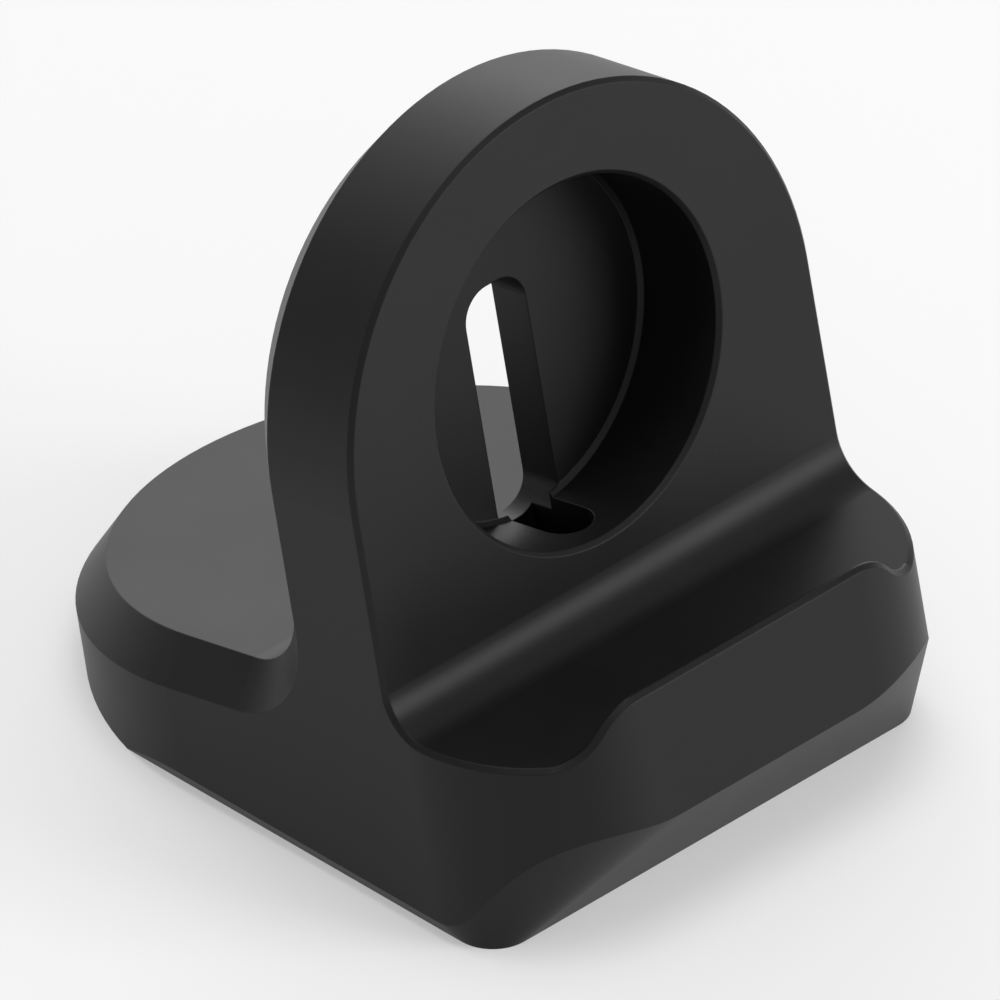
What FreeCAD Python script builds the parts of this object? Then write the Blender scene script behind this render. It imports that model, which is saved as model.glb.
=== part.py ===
import FreeCAD, Part
import math
import os

# A desk stand for a round watch, moulded in one piece of soft black silicone. An arched
# plate leans back and holds the round magnetic charger in a pocket. A half-round heel
# stands behind it, and a trough with a low lip in front of it takes the watch's band.
#
# The body is drawn upright, as if the plate stood straight: x runs across, y goes back
# from the plate's front face, and z goes up along it. It is then leant back about the
# line where that face meets the table, and the table plane trims its underside.

# Driving dimensions, in millimetres and degrees
lean = 12.2
width = 47.0

pocket_diameter = 28.4
pocket_depth = 8.25
pocket_height = 36.0

plate_thickness = 11.9
arch_height = 33.8

heel_height = 17.0
heel_reach = 24.3
heel_fillet = 5.1

bevel_inset = 2.7
bevel_drop = 3.1

trough_height = 16.0
trough_fillet = 3.7
front_reach = 13.8
front_corner = 12.2

lip_height = 17.3
lip_thickness = 0.9
lip_side_gap = 4.8
lip_end_run = 7.4

foot_inset = 0.95
foot_front = 6.1
foot_corner = 3.2
foot_corner_growth = 1.76
chamfer_angle = 45.0

slot_width = 6.15
slot_bottom = 20.4
slot_top = 40.5
slot_corner = 2.5

passage_width = 4.2
passage_front = 2.3
passage_back = 10.3

channel_width = 4.6
channel_height = 4.5

edge_bevel = 0.35

# Sizes worked out from them
half_width = width / 2
pocket_radius = pocket_diameter / 2
passage_radius = passage_width / 2
channel_radius = channel_width / 2
lean_angle = math.radians(lean)
undercut = math.tan(math.radians(chamfer_angle - lean))
arch_top = arch_height + half_width
heel_back = heel_reach + half_width
corner_x = half_width - front_corner

# How far a cutting solid runs clear of the body, and how far two joined solids run into each other
clear = 5.0
overlap = 1.0
lowest = -(heel_back + clear)

across = FreeCAD.Vector(1, 0, 0)
backward = FreeCAD.Vector(0, 1, 0)
upward = FreeCAD.Vector(0, 0, 1)
centre = FreeCAD.Vector(0, 0, 0)


def point(x, y, z):
    return FreeCAD.Vector(x, y, z)


def line(start, end):
    return Part.makeLine(start, end)


def arc(start, middle, end):
    return Part.Arc(start, middle, end).toShape()


def prism(edges, sweep):
    """The solid swept from a closed chain of edges."""
    wire = Part.Wire(Part.__sortEdges__(edges))
    return Part.Face(wire).extrude(sweep)


def rounded_polygon(corners, radii):
    """Edges of a closed flat outline, each corner rounded by its own radius (0 is sharp)."""
    count = len(corners)
    starts = []
    middles = []
    ends = []
    for index, corner in enumerate(corners):
        to_last = (corners[index - 1] - corner).normalize()
        to_next = (corners[(index + 1) % count] - corner).normalize()
        inward = (to_last + to_next).normalize()
        half_angle = to_last.getAngle(to_next) / 2
        reach = radii[index] / math.tan(half_angle)
        nearest = radii[index] / math.sin(half_angle) - radii[index]
        starts.append(corner + to_last * reach)
        middles.append(corner + inward * nearest)
        ends.append(corner + to_next * reach)
    edges = []
    for index in range(count):
        if radii[index] > 0:
            edges.append(arc(starts[index], middles[index], ends[index]))
        edges.append(line(ends[index], starts[(index + 1) % count]))
    return edges


def rounded_front(front, back, side, corner, z):
    """A flat outline with its two front corners rounded and its back square."""
    corners = [
        point(-side, front, z),
        point(side, front, z),
        point(side, back, z),
        point(-side, back, z),
    ]
    return rounded_polygon(corners, [corner, corner, 0, 0])


def rim_depth(x):
    """How far behind the plate's front face the front wall lies, at a distance across."""
    past_corner = max(abs(x) - corner_x, 0)
    return front_corner - front_reach - math.sqrt(front_corner ** 2 - past_corner ** 2)


def plan_outline(z):
    """The body seen down the plate: flat sides, rounded front corners, half-round heel."""
    side_start = front_corner - front_reach
    middle_x = corner_x + front_corner * math.sqrt(1 / 2)
    middle_y = side_start - front_corner * math.sqrt(1 / 2)
    left_front = point(-corner_x, -front_reach, z)
    right_front = point(corner_x, -front_reach, z)
    left_side = point(-half_width, side_start, z)
    right_side = point(half_width, side_start, z)
    left_heel = point(-half_width, heel_reach, z)
    right_heel = point(half_width, heel_reach, z)
    return [
        line(left_front, right_front),
        arc(right_front, point(middle_x, middle_y, z), right_side),
        line(right_side, right_heel),
        arc(right_heel, point(0, heel_back, z), left_heel),
        line(left_heel, left_side),
        arc(left_side, point(-middle_x, middle_y, z), left_front),
    ]


def trough_level(y):
    """Height, along the plate, of the level trough floor at a distance behind the front face."""
    return trough_height / math.cos(lean_angle) + y * math.tan(lean_angle)


def side_outline():
    """The stand seen from its side: trough, plate and heel, with both inner corners filled."""
    x = -half_width
    front = -front_reach - clear
    back = heel_back + clear
    top = arch_top + clear
    corners = [
        point(x, front, lowest),
        point(x, back, lowest),
        point(x, back, heel_height),
        point(x, plate_thickness, heel_height),
        point(x, plate_thickness, top),
        point(x, 0, top),
        point(x, 0, trough_level(0)),
        point(x, front, trough_level(front)),
    ]
    return rounded_polygon(corners, [0, 0, 0, heel_fillet, 0, 0, trough_fillet, 0])


def arch_outline(y):
    """The stand seen from the front: straight sides under a half-round top."""
    left_foot = point(-half_width, y, lowest)
    right_foot = point(half_width, y, lowest)
    left_spring = point(-half_width, y, arch_height)
    right_spring = point(half_width, y, arch_height)
    return [
        line(left_foot, right_foot),
        line(right_foot, right_spring),
        arc(right_spring, point(0, y, arch_top), left_spring),
        line(left_spring, left_foot),
    ]


def block():
    """What the three outlines have in common."""
    plan = prism(plan_outline(lowest), upward * (arch_top + clear - lowest))
    side = prism(side_outline(), across * width)
    arch = prism(arch_outline(-front_reach - clear), backward * (heel_back + front_reach + 2 * clear))
    return plan.common(side).common(arch)


def on_back_edge(edge):
    """True for an edge of the chain round the heel's top, up the plate's back and over it."""
    tolerance = 1e-4
    for vertex in edge.Vertexes:
        place = vertex.Point
        past_fillet = place.y > plate_thickness + heel_fillet - tolerance
        on_heel = past_fillet and abs(place.z - heel_height) < tolerance
        above_fillet = place.z > heel_height + heel_fillet - tolerance
        on_plate = above_fillet and abs(place.y - plate_thickness) < tolerance
        if not (on_heel or on_plate):
            return False
    middle = edge.valueAt((edge.FirstParameter + edge.LastParameter) / 2)
    return abs(middle.x) > half_width - tolerance or edge.Curve.TypeId == "Part::GeomCircle"


def bevelled(body):
    """One bevel, wider than it is deep, runs along the whole chain of back edges."""
    chain = [edge for edge in body.Edges if on_back_edge(edge)]
    return body.makeChamfer(bevel_drop, bevel_inset, chain)


def edge_near(body, place):
    """The edge of a body whose middle lies nearest to a place."""
    def distance(edge):
        middle = edge.valueAt((edge.FirstParameter + edge.LastParameter) / 2)
        return middle.distanceToPoint(place)

    return min(body.Edges, key=distance)


def softened(body, places):
    """The body with a fine bevel on the edges at some places, and on what runs on from them."""
    return body.makeChamfer(edge_bevel, [edge_near(body, place) for place in places])


def front_skin(low):
    """The outer skin of the front wall, as thick as the lip."""
    outer = prism(plan_outline(low), upward * (lip_height - low))
    inner = prism(
        rounded_front(
            lip_thickness - front_reach, heel_back + clear, half_width - lip_thickness,
            front_corner - lip_thickness, low - overlap),
        upward * (lip_height - low + 2 * overlap))
    return outer.cut(inner)


def lip():
    """The low wall in front of the trough, which sinks in an S to the trough's rim at both ends."""
    base_x = half_width - lip_side_gap
    half_top = base_x - lip_end_run
    base_z = trough_level(rim_depth(base_x))
    middle_x = (half_top + base_x) / 2
    middle_z = (lip_height + base_z) / 2
    turn = 2 * math.atan((lip_height - base_z) / lip_end_run)
    bend_radius = lip_end_run / 2 / math.sin(turn)
    bend_x = bend_radius * math.sin(turn / 2)
    bend_z = bend_radius * (1 - math.cos(turn / 2))
    low = trough_level(-front_reach) - overlap
    y = -front_reach - overlap
    edges = [
        line(point(-base_x, y, low), point(base_x, y, low)),
        line(point(-half_top, y, lip_height), point(half_top, y, lip_height)),
    ]
    for side in (-1, 1):
        top = point(side * half_top, y, lip_height)
        upper = point(side * (half_top + bend_x), y, lip_height - bend_z)
        middle = point(side * middle_x, y, middle_z)
        lower = point(side * (base_x - bend_x), y, base_z + bend_z)
        base = point(side * base_x, y, base_z)
        edges += [arc(top, upper, middle), arc(middle, lower, base), line(base, point(side * base_x, y, low))]
    profile = prism(edges, backward * (front_reach + overlap))
    wall = profile.common(front_skin(low))
    front_edge = point(0, -front_reach, lip_height)
    back_edge = point(0, lip_thickness - front_reach, lip_height)
    return softened(wall, [front_edge, back_edge])


def pocket():
    """The round pocket that the charger presses into from the front."""
    return Part.makeCylinder(pocket_radius, pocket_depth + clear, point(0, -clear, pocket_height), backward)


def cable_slot():
    """The upright slot from the pocket's floor out through the plate's back."""
    half = slot_width / 2
    corners = [
        point(-half, pocket_depth, slot_bottom),
        point(half, pocket_depth, slot_bottom),
        point(half, pocket_depth, slot_top),
        point(-half, pocket_depth, slot_top),
    ]
    return prism(rounded_polygon(corners, [slot_corner] * len(corners)), backward * (heel_back + clear))


def round_nosed(front, back, radius, z):
    """A flat outline with a half-round front and a square back."""
    nose = point(0, front, z)
    left_start = point(-radius, front + radius, z)
    right_start = point(radius, front + radius, z)
    left_back = point(-radius, back, z)
    right_back = point(radius, back, z)
    return [
        arc(left_start, nose, right_start),
        line(right_start, right_back),
        line(right_back, left_back),
        line(left_back, left_start),
    ]


def cable_passage():
    """The cable's way down from the pocket's lower wall to the underside."""
    start = pocket_height - pocket_radius + passage_radius
    return prism(round_nosed(passage_front, passage_back, passage_radius, start), upward * (lowest - start))


def leant(body):
    """The body leant back by the plate's angle."""
    turned = body.copy()
    turned.rotate(centre, across, -lean)
    return turned


def foot_outline(z):
    """The foot at a height above the table: it flares as it rises, most of all at its corners."""
    flare = z * undercut
    corner = foot_corner + z * foot_corner_growth
    return Part.Wire(rounded_front(
        -foot_front - flare, heel_back + 2 * clear, half_width - foot_inset + flare, corner, z))


def above_table():
    """The room that the body may fill: above the table, within the flared foot, and free over it."""
    front_run = front_reach / math.cos(lean_angle) - foot_front
    foot_top = front_run / (undercut + math.tan(lean_angle)) + overlap
    foot = Part.makeLoft([foot_outline(0), foot_outline(foot_top)], True, True)
    reach = heel_back + 2 * clear
    upper = Part.makeBox(2 * reach, 2 * reach, arch_top + clear, point(-reach, -reach, foot_top))
    return foot.fuse(upper)


def cable_channel():
    """The channel in the underside, from the passage out under the back of the heel."""
    front = passage_front / math.cos(lean_angle)
    outline = round_nosed(front, heel_back + 2 * clear, channel_radius, -overlap)
    return prism(outline, upward * (overlap + channel_height))


def silicone_stand():
    """The whole moulding."""
    solid = block()
    rim = point(0, 0, arch_top)
    upright = softened(bevelled(solid), [rim]).fuse(lip()).removeSplitter().cut(pocket())
    mouth = point(0, 0, pocket_height - pocket_radius)
    floor = point(0, pocket_depth, pocket_height - pocket_radius)
    upright = softened(upright, [mouth, floor]).cut(cable_slot()).cut(cable_passage())
    trimmed = leant(upright).common(above_table())
    return trimmed.cut(cable_channel()).removeSplitter()


os.makedirs("parts", exist_ok=True)
stand = silicone_stand()
stand.exportStep("parts/silicone_stand.step")
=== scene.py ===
import math

import bpy
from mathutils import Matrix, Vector


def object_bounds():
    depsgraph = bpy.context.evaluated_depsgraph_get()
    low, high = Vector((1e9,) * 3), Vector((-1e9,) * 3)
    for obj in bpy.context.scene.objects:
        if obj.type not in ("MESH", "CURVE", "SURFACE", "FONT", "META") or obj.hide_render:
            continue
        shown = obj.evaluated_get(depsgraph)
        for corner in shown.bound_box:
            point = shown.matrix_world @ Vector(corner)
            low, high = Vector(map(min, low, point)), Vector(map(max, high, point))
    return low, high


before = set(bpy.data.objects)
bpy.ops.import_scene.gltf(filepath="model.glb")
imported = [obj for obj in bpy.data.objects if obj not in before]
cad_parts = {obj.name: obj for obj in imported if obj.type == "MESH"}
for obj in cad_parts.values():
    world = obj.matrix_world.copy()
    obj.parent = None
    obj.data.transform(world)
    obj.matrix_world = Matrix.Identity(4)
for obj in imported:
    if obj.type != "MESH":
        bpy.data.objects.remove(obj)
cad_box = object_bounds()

# The moulding. One piece of black silicone, pressed in a steel mould with finely blasted walls.
# Its skin is satin, with a faint cloudiness, a very fine even grain and slightly softened edges.


class Value:
    """A socket in a node tree that takes part in Python arithmetic."""

    def __init__(self, tree, socket):
        self.tree = tree
        self.socket = socket

    def _math(self, operation, first, second):
        node = self.tree.nodes.new("ShaderNodeMath")
        node.operation = operation
        for socket, value in zip(node.inputs, (first, second)):
            if isinstance(value, Value):
                self.tree.links.new(value.socket, socket)
            else:
                socket.default_value = value
        return Value(self.tree, node.outputs[0])

    def __add__(self, other):
        return self._math("ADD", self, other)

    def __radd__(self, other):
        return self._math("ADD", other, self)

    def __sub__(self, other):
        return self._math("SUBTRACT", self, other)

    def __rsub__(self, other):
        return self._math("SUBTRACT", other, self)

    def __mul__(self, other):
        return self._math("MULTIPLY", self, other)

    def __rmul__(self, other):
        return self._math("MULTIPLY", other, self)


class Shader:
    """A material's node tree, with one method for any node that is not plain arithmetic."""

    def __init__(self, name):
        self.material = bpy.data.materials.new(name)
        self.material.use_nodes = True
        self.tree = self.material.node_tree
        self.tree.nodes.clear()

    def node(self, kind, sockets=None, output=0, **settings):
        """Add a node, set or link its sockets by name or place, and give one of its outputs."""
        made = self.tree.nodes.new("ShaderNode" + kind)
        for key, value in settings.items():
            setattr(made, key, value)
        for key, value in (sockets or {}).items():
            if isinstance(value, Value):
                self.tree.links.new(value.socket, made.inputs[key])
            else:
                made.inputs[key].default_value = value
        return Value(self.tree, made.outputs[output]) if len(made.outputs) else None


skin_dark = (0.004, 0.004, 0.0042, 1.0)
skin_light = (0.008, 0.008, 0.0083, 1.0)
skin_gloss = 0.25
skin_roughness = 0.44
skin_roughness_spread = 0.05
cloud_scale = 130.0
cloud_detail = 3.0
grain_scale = 5200.0
grain_detail = 2.0
grain_depth = 0.000004
grain_strength = 0.6
edge_softness = 0.00015
edge_samples = 6

silicone = Shader("black_silicone")
place = silicone.node("TexCoord", output="Object")
cloud = silicone.node("TexNoise", {"Vector": place, "Scale": cloud_scale, "Detail": cloud_detail})
grain = silicone.node("TexNoise", {"Vector": place, "Scale": grain_scale, "Detail": grain_detail})
colour = silicone.node("Mix", {0: cloud, 6: skin_dark, 7: skin_light}, output=2, data_type="RGBA")
edges = silicone.node("Bevel", {"Radius": edge_softness}, samples=edge_samples)
relief = silicone.node(
    "Bump", {"Height": grain, "Distance": grain_depth, "Strength": grain_strength, "Normal": edges})
skin = silicone.node("BsdfPrincipled", {
    "Base Color": colour,
    "Roughness": skin_roughness + (cloud - 0.5) * skin_roughness_spread,
    "Specular IOR Level": skin_gloss,
    "Normal": relief,
})
silicone.node("OutputMaterial", {"Surface": skin})
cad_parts["silicone_stand"].material_slots[0].material = silicone.material

# The floor. A plain sheet of white paper that runs well past the picture, with the stand's own
# soft shade on it. Part of its white is that of the backdrop, for the eye and for gloss alike.
# It has no underside, so that the stand can also be looked at from below.
floor_half = 3.0
floor_drop = 0.00002
paper_white = (0.96, 0.96, 0.96, 1.0)
backdrop_share = 0.35

paper = Shader("white_paper")
seen = paper.node("LightPath", output="Is Camera Ray")
mirrored = paper.node("LightPath", output="Is Glossy Ray")
seen_through = paper.node("LightPath", output="Is Transmission Ray")
underneath = paper.node("NewGeometry", output="Backfacing")
sheet = paper.node("BsdfDiffuse", {"Color": paper_white})
backdrop = paper.node("Emission", {"Strength": 1.0})
nothing = paper.node("BsdfTransparent")
backdrop_part = (seen + mirrored + seen_through) * backdrop_share
topside = paper.node("MixShader", {0: backdrop_part, 1: sheet, 2: backdrop})
one_sided = paper.node("MixShader", {0: underneath, 1: topside, 2: nothing})
paper.node("OutputMaterial", {"Surface": one_sided})

floor_mesh = bpy.data.meshes.new("floor")
floor_mesh.from_pydata(
    [(-floor_half, -floor_half, -floor_drop), (floor_half, -floor_half, -floor_drop),
     (floor_half, floor_half, -floor_drop), (-floor_half, floor_half, -floor_drop)],
    [], [(0, 1, 2, 3)])
floor_mesh.materials.append(paper.material)
floor = bpy.data.objects.new("floor", floor_mesh)
bpy.context.scene.collection.objects.link(floor)

# The light. Three soft boxes in a pale room. The key stands low at the right front and gives the
# plate its level, a long strip at the right back lifts the heel and the top of the arch, and one
# box hangs overhead. Nothing stands on the left, so that side of the stand stays dark.
box_distance = 0.9
room_glow = 0.46


def soft_box(name, turn, rise, width, depth, glow):
    """Hang a soft box facing the stand: turn and rise in degrees, glow its brightness at any size."""
    turn = math.radians(turn)
    rise = math.radians(rise)
    way = Vector((
        math.cos(rise) * math.cos(turn),
        math.cos(rise) * math.sin(turn),
        math.sin(rise),
    ))
    lamp = bpy.data.lights.new(name, "AREA")
    lamp.shape = "RECTANGLE"
    lamp.size = width
    lamp.size_y = depth
    lamp.energy = glow * math.pi * width * depth
    box = bpy.data.objects.new(name, lamp)
    box.location = stand_middle + way * box_distance
    box.rotation_euler = (-way).to_track_quat("-Z", "Y").to_euler()
    bpy.context.scene.collection.objects.link(box)


stand_middle = (Vector(cad_box[0]) + Vector(cad_box[1])) / 2
soft_box("key_box", turn=300, rise=17, width=0.44, depth=0.44, glow=6.2)
soft_box("back_strip", turn=60, rise=17, width=1.35, depth=0.44, glow=2.3)
soft_box("overhead_box", turn=0, rise=90, width=0.55, depth=0.55, glow=2.4)

room = bpy.data.worlds.new("pale_room")
room.use_nodes = True
room_light = room.node_tree.nodes["Background"]
room_light.inputs["Color"].default_value = (1.0, 1.0, 1.0, 1.0)
room_light.inputs["Strength"].default_value = room_glow
bpy.context.scene.world = room

# The camera. It stands off at the front left, equally far along all three directions, and looks
# at the stand with no vanishing, so that widths, depths and heights all show at one scale.
picture_width = 0.07299
camera_distance = 0.5
nearest_seen = 0.01
farthest_seen = 10.0
aim = Vector((0.0, 0.01571, 0.01892))
sight = Vector((1.0, 1.0, -1.0)).normalized()
camera_data = bpy.data.cameras.new("camera")
camera_data.type = "ORTHO"
camera_data.ortho_scale = picture_width
camera_data.clip_start = nearest_seen
camera_data.clip_end = farthest_seen
camera = bpy.data.objects.new("camera", camera_data)
camera.location = aim - sight * camera_distance
camera.rotation_euler = sight.to_track_quat("-Z", "Y").to_euler()
bpy.context.scene.collection.objects.link(camera)
bpy.context.scene.camera = camera

bpy.context.scene.view_settings.view_transform = "Standard"
